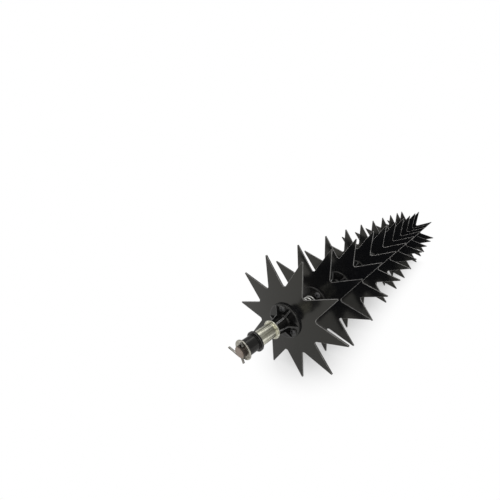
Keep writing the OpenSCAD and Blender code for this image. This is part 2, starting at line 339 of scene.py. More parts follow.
def coatMaterial(name, look):
    mat, tree, surface = newMaterial(name)
    low, high = look["gloss"]
    grain = useGroup(
        tree,
        grainGroup,
        {"Cloud scale": look["cloud"], "Grain scale": look["grain"], "Gloss low": low, "Gloss high": high},
    )
    feed(tree, surface["Base Color"], edgeLinedDustyColour(tree, look["colour"], look))
    feed(tree, surface["Roughness"], grain["Rough"])
    surface["Specular IOR Level"].default_value = look["shine"]
    surface["Specular Tint"].default_value = look["sheen"]
    setBump(tree, surface, grain["Height"], look["bump"], relief["coat"])
    return mat


def metalMaterial(name, look):
    mat, tree, surface = newMaterial(name)
    low, high = look["gloss"]
    metal = useGroup(
        tree,
        metalGroup,
        {
            "Dark": look["dark"],
            "Light": look["light"],
            "Stretch": look["stretch"],
            "Stain": look["stain"],
            "Stain amount": look["stained"],
            "Stain scale": look["stainScale"],
            "Gloss low": low,
            "Gloss high": high,
        },
    )
    feed(tree, surface["Base Color"], edgeLinedDustyColour(tree, metal["Colour"], look))
    feed(tree, surface["Roughness"], metal["Rough"])
    surface["Metallic"].default_value = look["metallic"]
    setBump(tree, surface, metal["Height"], look["bump"], relief["metal"])
    return mat


def grey(level, warmth=0.0):
    return (level, level * (1 - warmth / 2), level * (1 - warmth), 1)


# The plates' pale edge colour is part bare steel where the coat is rubbed and part painted highlight on
# the edges
blackCoat = coatMaterial(
    "blackCoat",
    {
        "colour": (0.0066, 0.0068, 0.0078, 1),
        "bareOrGlint": grey(0.66, 0.06),
        "sheen": (1.0, 0.975, 0.86, 1),
        "shine": 0.485,
        "gloss": (0.12, 0.19),
        "cloud": 18,
        "grain": 900,
        "wearAndGlint": 0.85,
        "dust": 0.008,
        "bump": 0.05,
    },
)
# The hub's light grey edge colour is mostly a painted highlight on rib ridges and pad rims, with some
# rubbed wear
hubPlastic = coatMaterial(
    "hubPlastic",
    {
        "colour": (0.0062, 0.0062, 0.0064, 1),
        "bareOrGlint": grey(0.7),
        "sheen": (1.0, 0.98, 0.92, 1),
        "shine": 0.45,
        "gloss": (0.16, 0.26),
        "cloud": 60,
        "grain": 1800,
        "wearAndGlint": 0.7,
        "dust": 0.012,
        "bump": 0.1,
    },
)
# The bush's paler edge colour is part rubbed wear and part painted highlight on its rims
bushPlastic = coatMaterial(
    "bushPlastic",
    {
        "colour": (0.0044, 0.0044, 0.0048, 1),
        "bareOrGlint": grey(0.1, 0.05),
        "sheen": (1.0, 0.99, 0.92, 1),
        "shine": 0.36,
        "gloss": (0.12, 0.3),
        "cloud": 90,
        "grain": 1500,
        "wearAndGlint": 0.6,
        "dust": 0.015,
        "bump": 0.08,
    },
)
tubePaint = coatMaterial(
    "tubePaint",
    {
        "colour": (0.005, 0.005, 0.0055, 1),
        "bareOrGlint": grey(0.2, 0.06),
        "sheen": grey(1.0),
        "shine": 0.4,
        "gloss": (0.25, 0.36),
        "cloud": 40,
        "grain": 1200,
        "wearAndGlint": 0.4,
        "dust": 0.015,
        "bump": 0.06,
    },
)
boltBlack = coatMaterial(
    "boltBlack",
    {
        "colour": (0.012, 0.012, 0.013, 1),
        "bareOrGlint": grey(0.2),
        "sheen": grey(1.0),
        "shine": 0.6,
        "gloss": (0.2, 0.32),
        "cloud": 200,
        "grain": 2500,
        "wearAndGlint": 0.4,
        "dust": 0.02,
        "bump": 0.06,
    },
)
sleeveZinc = metalMaterial(
    "sleeveZinc",
    {
        "dark": (0.4, 0.395, 0.315, 1),
        "light": (0.95, 0.94, 0.8, 1),
        "stretch": (5, 230, 230),
        "stain": (0.3, 0.285, 0.21, 1),
        "stained": 0.4,
        "stainScale": 60,
        "bareOrGlint": (0.78, 0.77, 0.69, 1),
        "wearAndGlint": 0.7,
        "gloss": (0.18, 0.34),
        "metallic": 1.0,
        "dust": 0.02,
        "bump": 0.15,
    },
)
wireZinc = metalMaterial(
    "wireZinc",
    {
        "dark": (0.52, 0.52, 0.49, 1),
        "light": (0.9, 0.9, 0.87, 1),
        "stretch": (160, 160, 160),
        "stain": (0.4, 0.38, 0.33, 1),
        "stained": 0.2,
        "stainScale": 90,
        "bareOrGlint": grey(0.9),
        "wearAndGlint": 0.0,
        "gloss": (0.2, 0.32),
        "metallic": 0.7,
        "dust": 0.02,
        "bump": 0.05,
    },
)
washerZinc = metalMaterial(
    "washerZinc",
    {
        "dark": (0.3, 0.29, 0.245, 1),
        "light": (0.62, 0.6, 0.52, 1),
        "stretch": (240, 240, 240),
        "stain": (0.09, 0.07, 0.05, 1),
        "stained": 0.65,
        "stainScale": 110,
        "bareOrGlint": (0.52, 0.51, 0.47, 1),
        "wearAndGlint": 0.7,
        "gloss": (0.3, 0.46),
        "metallic": 1.0,
        "dust": 0.04,
        "bump": 0.12,
    },
)
pinSteel = metalMaterial(
    "pinSteel",
    {
        "dark": (0.09, 0.087, 0.078, 1),
        "light": (0.36, 0.35, 0.32, 1),
        "stretch": (200, 200, 200),
        "stain": (0.12, 0.1, 0.08, 1),
        "stained": 0.35,
        "stainScale": 130,
        "bareOrGlint": grey(0.6),
        "wearAndGlint": 0.0,
        "gloss": (0.22, 0.36),
        "metallic": 1.0,
        "dust": 0.03,
        "bump": 0.08,
    },
)
nutZinc = metalMaterial(
    "nutZinc",
    {
        "dark": (0.36, 0.36, 0.32, 1),
        "light": (0.6, 0.6, 0.56, 1),
        "stretch": (300, 300, 300),
        "stain": (0.3, 0.28, 0.23, 1),
        "stained": 0.3,
        "stainScale": 150,
        "bareOrGlint": grey(0.7),
        "wearAndGlint": 0.3,
        "gloss": (0.25, 0.38),
        "metallic": 1.0,
        "dust": 0.03,
        "bump": 0.08,
    },
)


# The bar is dark along its side and bare where its ends were cut
def barMaterial(look):
    mat, tree, surface = newMaterial("axleBar")
    lowered = {"Vector": objectPoint(tree), "Location": (0, 0, -axleZ / perMetre)}
    centred = addNode(tree, "ShaderNodeMapping", lowered).outputs[0]
    out = calc(tree, "ABSOLUTE", addNode(tree, "ShaderNodeSeparateXYZ", {0: centred}).outputs["X"])
    cut = remap(tree, out, look["endAt"] - look["endFade"], look["endAt"])
    fine = noise(tree, centred, look["fineScale"], look["fineDetail"])
    patches = noise(tree, centred, look["patchScale"])
    marks = {"Vector": centred, "Scale": look["sawScale"]}
    marks.update({"Distortion": look["sawWobble"], "Detail": look["sawDetail"]})
    rings = addNode(tree, "ShaderNodeTexWave", marks, wave_type="RINGS", rings_direction="X")
    sawn = calc(tree, "MULTIPLY", rings.outputs["Fac"], cut)
    face = blendColour(tree, remap(tree, fine, *look["cutClouds"]), look["cutDark"], look["cutLight"])
    stained = remap(tree, patches, *look["stains"], 0, look["stained"])
    face = blendColour(tree, stained, face, look["cutStain"])
    side = blendColour(tree, remap(tree, fine, *look["sideClouds"]), look["sideDark"], look["sideLight"])
    feed(tree, surface["Base Color"], blendColour(tree, cut, side, face))
    feed(tree, surface["Metallic"], remap(tree, cut, 0, 1, look["sideMetal"], look["cutMetal"]))
    feed(tree, surface["Roughness"], remap(tree, fine, *look["cutClouds"], *look["gloss"]))
    setBump(tree, surface, sawn, look["bump"], look["sawDepth"])
    return mat


axleBar = barMaterial(
    {
        "endAt": 0.61995,
        "endFade": 0.0001,
        "fineScale": 900,
        "fineDetail": 4,
        "gloss": (0.34, 0.5),
        "sawScale": 260.0,
        "sawWobble": 1.5,
        "sawDetail": 2.0,
        "sawDepth": 0.00008,
        "bump": 0.12,
        "cutDark": (0.22, 0.175, 0.14, 1),
        "cutLight": (0.34, 0.285, 0.245, 1),
        "cutStain": (0.17, 0.12, 0.085, 1),
        "cutClouds": (0.3, 0.7),
        "patchScale": 160,
        "stains": (0.5, 0.75),
        "stained": 0.6,
        "cutMetal": 0.85,
        "sideDark": (0.018, 0.0145, 0.012, 1),
        "sideLight": (0.11, 0.087, 0.073, 1),
        "sideClouds": (0.35, 0.7),
        "sideMetal": 0.4,
    }
)
print("materials made")

# Star plates
plate = {
    "thick": 3.0,
    "edge": 0.4,
    "edgeSteps": 2,
    "sharp": 10,
    "cutWearAndGlint": 0.04,
    "starWearAndGlint": (0.7, 0.55, 1.1, 1.1, 1.1, 1.1, 1.1, 1.1, 0.55, 0.7),
    "rootR": 70.0,
    "notch": 5.0,
    "notchSteps": 16,
    "pilotR": turnR + 6.1,
    "pilotSides": 60,
    "bolts": 3,
    "boltR": 27.5,
    "boltHole": 3.2,
    "holeSides": 24,
}


def starOutline():
    half = spikeAngle / 2 - tipAngle
    corner = Vector((math.cos(half), math.sin(half))) * roller["tipCircle"]
    centre = plate["rootR"] + plate["notch"]
    reach = corner - Vector((centre, 0))
    touch = math.degrees(math.atan2(reach.y, reach.x) + math.acos(plate["notch"] / reach.length))
    dip = arc(centre, 0, plate["notch"], 360 - touch, touch, plate["notchSteps"])
    notch = [(corner.x, -corner.y)] + dip + [(corner.x, corner.y)]
    points = []
    for i in range(roller["spikes"]):
        c, s = math.cos(i * spikeAngle), math.sin(i * spikeAngle)
        points += [(x * c - y * s, x * s + y * c) for x, y in notch]
    return points


def cutPlate():
    curve = bpy.data.curves.new("plateOutline", "CURVE")
    curve.dimensions = "2D"
    curve.fill_mode = "BOTH"
    curve.extrude = plate["thick"] / 2 - plate["edge"]
    curve.bevel_depth = plate["edge"]
    curve.bevel_resolution = plate["edgeSteps"]
    curve.offset = -plate["edge"]
    loops = [starOutline(), circle(0, 0, plate["pilotR"], plate["pilotSides"])]
    for i in range(plate["bolts"]):
        a = math.pi + i * 2 * math.pi / plate["bolts"]
        spot = (plate["boltR"] * math.cos(a), plate["boltR"] * math.sin(a))
        loops.append(circle(*spot, plate["boltHole"], plate["holeSides"]))
    for loop in loops:
        spline = curve.splines.new("POLY")
        spline.points.add(len(loop) - 1)
        for p, (u, v) in zip(spline.points, loop):
            p.co = (u, v, 0, 1)
        spline.use_cyclic_u = True
    drawing = addObject("plateOutline", curve)
    bm = bmesh.new()
    bm.from_mesh(evaluated(drawing))
    bpy.data.objects.remove(drawing)
    for v in bm.verts:
        v.co = (v.co.z, v.co.y, -v.co.x)
    mesh = toMesh(bm, "starPlate", plate["sharp"])
    wearAndGlint = mesh.attributes["edge"].data
    # The cut sides of the plate get a faint pale line, part wear and part painted highlight
    for face in mesh.polygons:
        if abs(face.normal.x) < meshing["sideOn"]:
            wearAndGlint[face.index].value = plate["cutWearAndGlint"]
    return mesh


# The pale edge lines, part wear and part painted highlight, are fainter on the two stars at each end than
# on the others
def edgeLinedPlate(k):
    mesh = plateMesh.copy()
    for face in mesh.attributes["edge"].data:
        face.value *= plate["starWearAndGlint"][k - 1]
    return mesh


plateMesh = cutPlate()
plateMesh.materials.append(blackCoat)
for k in starNumbers:
    tag = "%02d" % k
    place = setPlace(starX(k), starTurn(k))
    settle("starPlate_" + tag, edgeLinedPlate(k), place, "star_" + tag, "star_wheel_" + tag)
print("star plates cut")

# Moulded hubs
hub = {
    "flangeR": 36.0,
    "flangeT": 5.0,
    "flangeEdge": 2.0,
    "length": 35.5,
    "bossWall": 2.2,
    "draft": 1.0,
    "fillet": 3.0,
    "pilotR": turnR + 6.0,
    "pilotH": 1.4,
    "ribs": 6,
    "ribT": 3.0,
    "ribH": 8.0,
    "ribFootW": 4.0,
    "ribTopW": 2.2,
    "ribTopInset": 1.0,
    "ribEndH": 1.5,
    "ribInset": 2.5,
    "ribEdge": 0.7,
    "ribSteps": 3,
    "ribRound": 0.5,
    "padR": 6.25,
    "padH": 3.0,
    "padEdge": 0.8,
    "padRoot": 1.0,
    "padSides": 36,
    "spigotWall": 1.6,
    "spigotH": 8.0,
    "mouth": 0.4,
    "rimWearAndGlint": 0.2,
    "sides": 96,
    "sharp": 30,
    "edgeSteps": 6,
    "endSteps": 5,
    "footSteps": 3,
    "lipSteps": 4,
    "trimSharp": 40,
}
bossR = turnR + hub["bossWall"]


def hubProfile(top):
    t, r, e, m = hub["flangeT"], hub["flangeR"], hub["flangeEdge"], hub["mouth"]
    pilot = [(-hub["pilotH"], turnR), (-hub["pilotH"], hub["pilotR"]), (0, hub["pilotR"])]
    return pilot + [(0, r - m), (m, r)] + arc(t - e, r - e, e, 90, 0, hub["edgeSteps"]) + top


def bossTop():
    f, e, m = hub["fillet"], hub["bossWall"] / 2, hub["mouth"]
    rise = arc(hub["flangeT"] + f, bossR + hub["draft"] + f, f, 180, 270, hub["edgeSteps"])
    rounded = arc(hub["length"] - e, bossR - e, e, 90, 0, hub["endSteps"])
    return rise + rounded + [(hub["length"], turnR + m), (hub["length"] - m, turnR)]


def spigotTop():
    r, top = turnR + hub["spigotWall"], hub["flangeT"] + hub["spigotH"]
    e, f = hub["spigotWall"] / 2, hub["mouth"]
    foot = arc(hub["flangeT"] + f, r + f, f, 180, 270, hub["footSteps"])
    return foot + arc(top - e, r - e, e, 90, 0, hub["lipSteps"]) + [(top, turnR)]


# The ridge along the boss carries a brighter pale line, part rubbed wear and part painted highlight, than
# the slope down to the rim
def ribMesh():
    inner, outer = bossR - hub["bossWall"] / 2, hub["flangeR"] - hub["ribInset"]
    t, top = hub["flangeT"], hub["length"] - hub["ribTopInset"]
    turn = bossR + hub["draft"] + hub["ribFootW"]
    side = [(t / 2, inner), (t / 2, outer), (t + hub["ribEndH"], outer), (t + hub["ribH"], turn)]
    side += [(top, bossR + hub["ribTopW"]), (top, inner)]
    bm = bmesh.new()
    loft(bm, [[(x, s * hub["ribT"] / 2, -r) for x, r in side] for s in (-1, 1)], capEnds=True)
    rounding = {"offset": hub["ribEdge"], "segments": hub["ribSteps"], "profile": hub["ribRound"]}
    bmesh.ops.bevel(bm, geom=list(bm.edges), affect="EDGES", **rounding)
    mesh = toMesh(bm, "hubRib", hub["trimSharp"])
    wearAndGlint = mesh.attributes["edge"].data
    for face in mesh.polygons:
        if face.center.x < t + hub["ribH"]:
            wearAndGlint[face.index].value *= hub["rimWearAndGlint"]
    return mesh


def padMesh():
    r, e, base, hole = hub["padR"], hub["padEdge"], hub["flangeT"], plate["boltHole"]
    root, top = base - hub["padRoot"], base + hub["padH"]
    profile = [(root, hole), (root, r + e)] + arc(base + e, r + e, e, 180, 270, hub["footSteps"])
    profile += arc(top - e, r - e, e, 90, 0, hub["lipSteps"]) + [(top, hole)]
    bm = bmesh.new()
    lathe(bm, profile, hub["padSides"], plate["boltR"])
    return toMesh(bm, "boltPad", hub["trimSharp"], wearAndGlint=hub["rimWearAndGlint"])


# Sets copies of one piece round the axle
def ringNodes(tree, piece, count, first):
    source = addNode(tree, "GeometryNodeObjectInfo", {"Object": piece}).outputs["Geometry"]
    points = addNode(tree, "GeometryNodePoints", {"Count": count}).outputs[0]
    index = addNode(tree, "GeometryNodeInputIndex").outputs[0]
    angle = calc(tree, "MULTIPLY_ADD", index, calc(tree, "DIVIDE", 2 * math.pi, count), first)
    turn = addNode(tree, "ShaderNodeCombineXYZ", {"X": angle}).outputs[0]
    inputs = {"Points": points, "Instance": source, "Rotation": turn}
    return addNode(tree, "GeometryNodeInstanceOnPoints", inputs).outputs[0]


def closeTree(tree, parts, finish, result):
    join = tree.nodes.new("GeometryNodeJoinGeometry")
    for part in parts:
        tree.links.new(part, join.inputs[0])
    real = addNode(tree, "GeometryNodeRealizeInstances", {0: join.outputs[0]}).outputs[0]
    done = addNode(tree, "GeometryNodeSetMaterial", {0: real, "Material": finish}).outputs[0]
    feed(tree, result[0], done)


# Runs a node tree once and keeps what it makes as a plain mesh
def grow(name, mesh, tree, values):
    obj = addObject(name, mesh)
    modifier = obj.modifiers.new(tree.name, "NODES")
    modifier.node_group = tree
    for item in tree.interface.items_tree:
        if item.in_out == "INPUT" and item.name in values:
            modifier[item.identifier] = values[item.name]
    made = evaluated(obj)
    obj.modifiers.remove(modifier)
    bpy.data.objects.remove(obj)
    made.materials.clear()
    made.materials.append(values["Finish"])
    made.polygons.foreach_set("material_index", [0] * len(made.polygons))
    return made


hubTree, given, result = newGroup(
    "mouldedHub",
    "GeometryNodeTree",
    {
        "Geometry": "geometry",
        "Rib": "object",
        "Rib count": "count",
        "First rib": "value",
        "Pad": "object",
        "Pad count": "count",
        "First pad": "value",
        "Finish": "finish",
    },
    {"Geometry": "geometry"},
)
ribRing = ringNodes(hubTree, given["Rib"], given["Rib count"], given["First rib"])
padRing = ringNodes(hubTree, given["Pad"], given["Pad count"], given["First pad"])
closeTree(hubTree, [given["Geometry"], ribRing, padRing], given["Finish"], result)
rib, pad = addObject("hubRib", ribMesh()), addObject("boltPad", padMesh())


def hubMesh(name, top, ribCount):
    bm = bmesh.new()
    lathe(bm, hubProfile(top), hub["sides"])
    values = {
        "Rib": rib,
        "Rib count": ribCount,
        "First rib": math.pi / hub["ribs"],
        "Pad": pad,
        "Pad count": plate["bolts"],
        "First pad": math.pi,
        "Finish": hubPlastic,
    }
    # The moulded body's rounded edges keep only a faint pale line, part wear and part painted highlight
    body = toMesh(bm, name, hub["sharp"], wearAndGlint=hub["rimWearAndGlint"])
    return grow(name, body, hubTree, values)


bossHub = hubMesh("bossHub", bossTop(), hub["ribs"])
springHub = hubMesh("springHub", spigotTop(), 0)
for piece in (rib, pad):
    bpy.data.objects.remove(piece)
springSeats = {"left": (2, roller["stars"]), "right": (1, roller["stars"] - 1)}
for k in starNumbers:
    tag = "%02d" % k
    for side, flip in endSides:
        source = springHub if k in springSeats[side] else bossHub
        place = setPlace(starX(k) + flip * plate["thick"] / 2, starTurn(k), flip)
        settle(side + "Hub_" + tag, source, place, "star_" + tag, side + "_hub_" + tag)
print("hubs moulded")

# Hub bolts and nuts
bolt = {
    "r": 3.0,
    "headR": 5.25,
    "headH": 3.3,
    "headRim": 0.2,
    "headSteps": 6,
    "topR": 2.5,
    "socket": 2.0,
    "socketEdge": 0.15,
    "socketDepth": 1.8,
    "nutFlat": 5.0,
    "nutT": 5.0,
    "nutGap": 0.06,
    "nutFace": 0.1,
    "nutSlope": 0.55,
    "nutMouth": 0.4,
    "thread": 2.0,
    "pitch": 1.0,
    "threadDepth": 0.45,
    "narrow": 0.25,
    "sides": 36,
    "sharp": 35,
    "nutSharp": 25,
}
clampHalf = plate["thick"] / 2 + hub["flangeT"] + hub["padH"]


def boltRing(x, r):
    return roundRing(x, r, bolt["sides"], plate["boltR"])


def hexRing(x, flat, spread=0.0):
    ring = []
    for i in range(bolt["sides"]):
        a = 2 * math.pi * i / bolt["sides"]
        corner = a % (math.pi / 3) - math.pi / 6
        r = flat / math.cos(corner) + spread
        ring.append((x, r * math.sin(a), -plate["boltR"] - r * math.cos(a)))
    return ring


def boltMesh():
    r, headR, rim, steps = bolt["r"], bolt["headR"], bolt["headRim"], bolt["headSteps"]
    dome = (headR**2 + bolt["headH"] ** 2) / (2 * bolt["headH"])
    head = [boltRing(-clampHalf, r), boltRing(-clampHalf, headR - rim)]
    for i in range(steps + 1):
        ringR = headR - (headR - bolt["topR"]) * i / steps
        rise = math.sqrt(dome**2 - ringR**2) - dome + bolt["headH"]
        head.append(boltRing(-clampHalf - rim - rise, ringR))
    top = head[-1][0][0]
    head += [hexRing(top, bolt["socket"], bolt["socketEdge"]), hexRing(top + rim, bolt["socket"])]
    head.append(hexRing(top + bolt["socketDepth"], bolt["socket"]))
    end = clampHalf + bolt["nutT"] + bolt["thread"]
    x = clampHalf - bolt["pitch"]
    shank = [boltRing(x, r)]
    while x < end - bolt["pitch"]:
        shank += [boltRing(x + bolt["pitch"] / 2, r - bolt["threadDepth"]), boltRing(x + bolt["pitch"], r)]
        x += bolt["pitch"]
    shank.append(boltRing(end, r - bolt["threadDepth"]))
    bm = bmesh.new()
    loft(bm, head[::-1] + shank, capEnds=True)
    return toMesh(bm, "hubBolt", bolt["sharp"], bolt["narrow"])


def nutMesh():
    low, high = clampHalf, clampHalf + bolt["nutT"]
    boreR, faceR, mouth = bolt["r"] + bolt["nutGap"], bolt["nutFlat"] - bolt["nutFace"], bolt["nutMouth"]

    def chamfered(x, away):
        ring = []
        for p in hexRing(x, bolt["nutFlat"]):
            r = math.hypot(p[1], p[2] + plate["boltR"])
            ring.append((x + away * (r - faceR) * bolt["nutSlope"], p[1], p[2]))
        return ring

    rings = [boltRing(low, boreR), boltRing(low, faceR), chamfered(low, 1), chamfered(high, -1)]
    rings += [boltRing(high, faceR), boltRing(high, boreR + mouth), boltRing(high - mouth, boreR)]
    bm = bmesh.new()
    loft(bm, rings, closed=True)
    return toMesh(bm, "hubNut", bolt["nutSharp"])


boltTree, given, result = newGroup(
    "ringOfFasteners",
    "GeometryNodeTree",
    {
        "Geometry": "geometry",
        "Piece": "object",
        "Count": "count",
        "First angle": "value",
        "Finish": "finish",
    },
    {"Geometry": "geometry"},
)
pieceRing = ringNodes(boltTree, given["Piece"], given["Count"], given["First angle"])
closeTree(boltTree, [given["Geometry"], pieceRing], given["Finish"], result)


def fastenerRing(mesh, finish):
    piece = addObject(mesh.name, mesh)
    values = {"Piece": piece, "Count": plate["bolts"], "First angle": math.pi, "Finish": finish}
    made = grow("fastenerRing", bpy.data.meshes.new("fastenerRing"), boltTree, values)
    bpy.data.objects.remove(piece)
    return made


def joinMeshes(name, parts):
    whole = bmesh.new()
    mesh = bpy.data.meshes.new(name)
    for index, part in enumerate(parts):
        mesh.materials.append(part.materials[0])
        part.polygons.foreach_set("material_index", [index] * len(part.polygons))
        whole.from_mesh(part)
    whole.to_mesh(mesh)
    whole.free()
    return mesh


fasteners = joinMeshes(
    "hubFasteners", [fastenerRing(boltMesh(), boltBlack), fastenerRing(nutMesh(), nutZinc)]
)
for k in starNumbers:
    tag = "%02d" % k
    place = setPlace(starX(k), starTurn(k))
    settle("hubBolts_" + tag, fasteners, place, "star_" + tag, "hub_bolts_" + tag)
print("hubs bolted")

# Turned pieces on the axle
sleeve = {"length": 39.4, "wall": 3.75, "rimW": 4.4, "rimT": 2.6, "edge": 0.5, "fillet": 0.7}
bush = {"seat": 22.2, "wall": 4.1, "rimW": 4.1, "rimT": 4.0, "edge": 0.7, "fillet": 0.6}
washer = {"thick": 2.5, "gap": 0.3, "band": 7.4, "edge": 0.7}
spacer = {"wall": 2.5, "edge": 0.4, "sides": 64}
turning = {"sides": 96, "sharp": 30, "boreEdge": 0.3, "rimSteps": 4, "tubeSteps": 3}
hubEnd = plate["thick"] / 2 + hub["length"]
sleeveAt = hubEnd + roller["endPlay"]
bushAt = sleeveAt + sleeve["length"] + roller["endPlay"]
washerAt = bushAt + bush["rimT"] + bush["seat"] + roller["endPlay"]


def turned(name, profile, finish, sides=turning["sides"]):
    bm = bmesh.new()
    lathe(bm, profile, sides)
    mesh = toMesh(bm, name, turning["sharp"])
    mesh.materials.append(finish)
    return mesh


def boreEnd(length, r):
    e = turning["boreEdge"]
    return [(length, r + e), (length - e, r), (e, r), (0, r + e)]


def rimmedTube(bore, tubeR, length, piece):
    e, f, rimT = piece["edge"], piece["fillet"], piece["rimT"]
    rimR, n = tubeR + piece["rimW"], turning["rimSteps"]
    outside = arc(e, rimR - e, e, 180, 90, n) + arc(rimT - e, rimR - e, e, 90, 0, n)
    outside += arc(rimT + f, tubeR + f, f, 180, 270, n) + arc(length - e, tubeR - e, e, 90, 0, n)
    return outside + boreEnd(length, bore)


def plainTube(bore, outerR, length, e):
    n = turning["tubeSteps"]
    outside = arc(e, outerR - e, e, 180, 90, n) + arc(length - e, outerR - e, e, 90, 0, n)
    return outside + boreEnd(length, bore)


sleeveProfile = rimmedTube(fixedR, fixedR + sleeve["wall"], sleeve["length"], sleeve)
bushProfile = rimmedTube(turnR, turnR + bush["wall"], bush["rimT"] + bush["seat"], bush)
holeR = roller["axleR"] + washer["gap"]
washerProfile = plainTube(holeR, holeR + washer["band"], washer["thick"], washer["edge"])
spacerLength = roller["starPitch"] - 2 * (hubEnd + roller["endPlay"])
spacerProfile = plainTube(fixedR, fixedR + spacer["wall"], spacerLength, spacer["edge"])
sleeveMesh = turned("endSleeve", sleeveProfile, sleeveZinc)
bushMesh = turned("endBush", bushProfile, bushPlastic)
washerMesh = turned("endWasher", washerProfile, washerZinc)
spacerMesh = turned("spacerTube", spacerProfile, tubePaint, spacer["sides"])


def endPlace(flip, out):
    return setPlace(flip * (endX + out), 0, flip)


for side, flip in endSides:
    settle(side + "Sleeve", sleeveMesh, endPlace(flip, sleeveAt), "axle", side + "_sleeve")
    bearing = side + "_bearing"
    settle(side + "Bush", bushMesh, endPlace(flip, bushAt), bearing, side + "_bush")
    settle(side + "Washer", washerMesh, endPlace(flip, washerAt), "axle", side + "_washer")
for k in range(1, roller["stars"] - 2):
    tag = "%02d" % k
    place = setPlace(starX(k + 1) + hubEnd + roller["endPlay"])
    settle("spacerTube_" + tag, spacerMesh, place, "axle", "spacer_tube_" + tag)
print("sleeves, bushes, washers and spacers turned")

# Springs
spring = {
    "wire": 3.2,
    "coilR": 14.84,
    "coils": 8,
    "closed": 0.85,
    "closedPitch": 1.04,
    "perCoil": 40,
    "sides": 14,
}
springLength = roller["endPitch"] - plate["thick"] - 2 * (hub["flangeT"] + roller["endPlay"])
springTree, given, result = newGroup(
    "coilSpring",
    "GeometryNodeTree",
    {
        "Points": "count",
        "Turns": "value",
        "Coil radius": "value",
        "Wire radius": "value",
        "Length": "value",
        "Sides": "count",
        "Finish": "finish",
    },
    {"Geometry": "geometry"},
)
line = addNode(springTree, "GeometryNodeMeshLine", {"Count": given["Points"]}).outputs[0]
index = addNode(springTree, "GeometryNodeInputIndex").outputs[0]
part = calc(springTree, "DIVIDE", index, calc(springTree, "SUBTRACT", given["Points"], 1.0))
climb = addNode(springTree, "ShaderNodeFloatCurve", {"Value": part})
angle = calc(springTree, "MULTIPLY", calc(springTree, "MULTIPLY", part, given["Turns"]), 2 * math.pi)
span = calc(springTree, "MULTIPLY_ADD", given["Wire radius"], -2.0, given["Length"])
along = calc(springTree, "MULTIPLY_ADD", climb.outputs[0], span, given["Wire radius"])
across = [
    calc(springTree, "MULTIPLY", calc(springTree, wave, angle), given["Coil radius"])
    for wave in ("SINE", "COSINE")
]
spot = addNode(springTree, "ShaderNodeCombineXYZ", {"X": along, "Y": across[0], "Z": across[1]}).outputs[0]
helix = addNode(springTree, "GeometryNodeSetPosition", {0: line, "Position": spot}).outputs[0]
path = addNode(springTree, "GeometryNodeMeshToCurve", {0: helix}).outputs[0]
wireRound = {"Resolution": given["Sides"], "Radius": given["Wire radius"]}
section = addNode(springTree, "GeometryNodeCurvePrimitiveCircle", wireRound).outputs[0]
sweep = {"Curve": path, "Profile Curve": section, "Fill Caps": True}
wire = addNode(springTree, "GeometryNodeCurveToMesh", sweep).outputs[0]
smooth = addNode(springTree, "GeometryNodeSetShadeSmooth", {0: wire}).outputs[0]
closeTree(springTree, [smooth], given["Finish"], result)

# Closed end coils lie side by side, then the wire climbs evenly
turns = spring["coils"] + 2 * spring["closed"]
flatPart = spring["closed"] / turns
flatRise = spring["closed"] * spring["wire"] * spring["closedPitch"] / (springLength - spring["wire"])
bend = climb.mapping.curves[0].points
bend[0].location, bend[1].location = (0, 0), (1, 1)
for x, y in ((flatPart, flatRise), (1 - flatPart, 1 - flatRise)):
    bend.new(x, y)
for p in bend:
    p.handle_type = "VECTOR"
climb.mapping.update()
springValues = {
    "Points": int(turns * spring["perCoil"]),
    "Turns": turns,
    "Coil radius": spring["coilR"],
    "Wire radius": spring["wire"] / 2,
    "Length": springLength,
    "Sides": spring["sides"],
    "Finish": wireZinc,
}
springMesh = grow("coilSpring", bpy.data.meshes.new("coilSpring"), springTree, springValues)
for side, k in (("left", 1), ("right", roller["stars"] - 1)):
    start = starX(k) + plate["thick"] / 2 + hub["flangeT"] + roller["endPlay"]
    settle(side + "Spring", springMesh, setPlace(start), "axle", side + "_spring")
print("springs wound")

# Cotter pins: one half-round wire folded over
cotter = {
    "dia": 4.0,
    "gap": 0.15,
    "seat": 0.2,
    "eyeR": 2.5,
    "eyeOut": 3.5,
    "eyeArc": 140,
    "eyeSteps": 36,
    "neck": 0.25,
    "neckIn": 1.0,
    "neckOut": 0.1,
    "split": 0.5,
    "turn": -12,
    "longBend": 88,
    "longLeg": 26,
    "shortBend": 27,
    "shortLeg": 11.5,
    "bendR": 4.5,
    "longSteps": 14,
    "shortSteps": 6,
    "roundStep": 15,
    "sharp": 50,
    "narrow": 0.0,
}
cotterAt = washerAt + washer["thick"] + cotter["seat"] + cotter["dia"] / 2 + cotter["gap"]


def legEnd(bendAngle, length):
    a, b = math.radians(bendAngle), cotter["bendR"]
    return b * math.sin(a) + length * math.cos(a), b * (1 - math.cos(a)) + length * math.sin(a)


def pinPath():
    flat, b = cotter["split"] / 2, cotter["bendR"]
    neck, out = flat + cotter["neck"], roller["axleR"] + cotter["gap"]
    inner, outer = out - cotter["neckIn"], out + cotter["neckOut"]
    eyeAt, eyeArc = out + cotter["eyeOut"], cotter["eyeArc"]
    longX, longY = legEnd(cotter["longBend"], cotter["longLeg"])
    shortX, shortY = legEnd(cotter["shortBend"], cotter["shortLeg"])
    path = [(-longX - out, longY + flat)]
    path += arc(-out, flat + b, b, 270 - cotter["longBend"], 270, cotter["longSteps"])
    path += [(inner, flat), (outer, neck)]
    path += arc(eyeAt, 0, cotter["eyeR"], eyeArc, -eyeArc, cotter["eyeSteps"])
    path += [(outer, -neck), (inner, -flat)]
    path += arc(-out, -flat - b, b, 90, 90 + cotter["shortBend"], cotter["shortSteps"])
    return path + [(-shortX - out, -flat - shortY)]


def lineMesh(name, points, closed=False):
    mesh = bpy.data.meshes.new(name)
    edges = [(i, i + 1) for i in range(len(points) - 1)]
    if closed:
        edges.append((len(points) - 1, 0))
    mesh.from_pydata([(x, y, 0) for x, y in points], edges, [])
    return mesh


